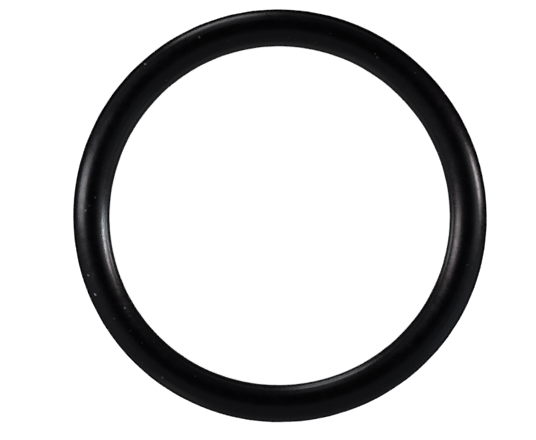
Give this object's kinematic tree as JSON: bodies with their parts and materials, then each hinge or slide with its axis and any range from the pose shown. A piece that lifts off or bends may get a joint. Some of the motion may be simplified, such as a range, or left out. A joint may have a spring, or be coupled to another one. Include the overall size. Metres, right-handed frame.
{
  "type": "rubber o-ring",
  "caption": "Black moulded rubber o-ring: a torus of round section with a fine parting ridge inside and outside, for sealing a shaft, bore or face.",
  "frame": {"origin": "centre of the ring, on its axis and in its mid-plane, halfway up its section", "axes": "+Z along the ring's axis, away from the surface it lies on; X and Y in the mid-plane, where every direction is alike"},
  "size_m": [0.04, 0.04, 0.0036],
  "materials": {
    "black_rubber": "satin black moulded rubber, slightly uneven sheen, with a few pale dust specks"
  },
  "bodies": {
    "root": {"o_ring": "black_rubber"}
  },
  "joints": []
}
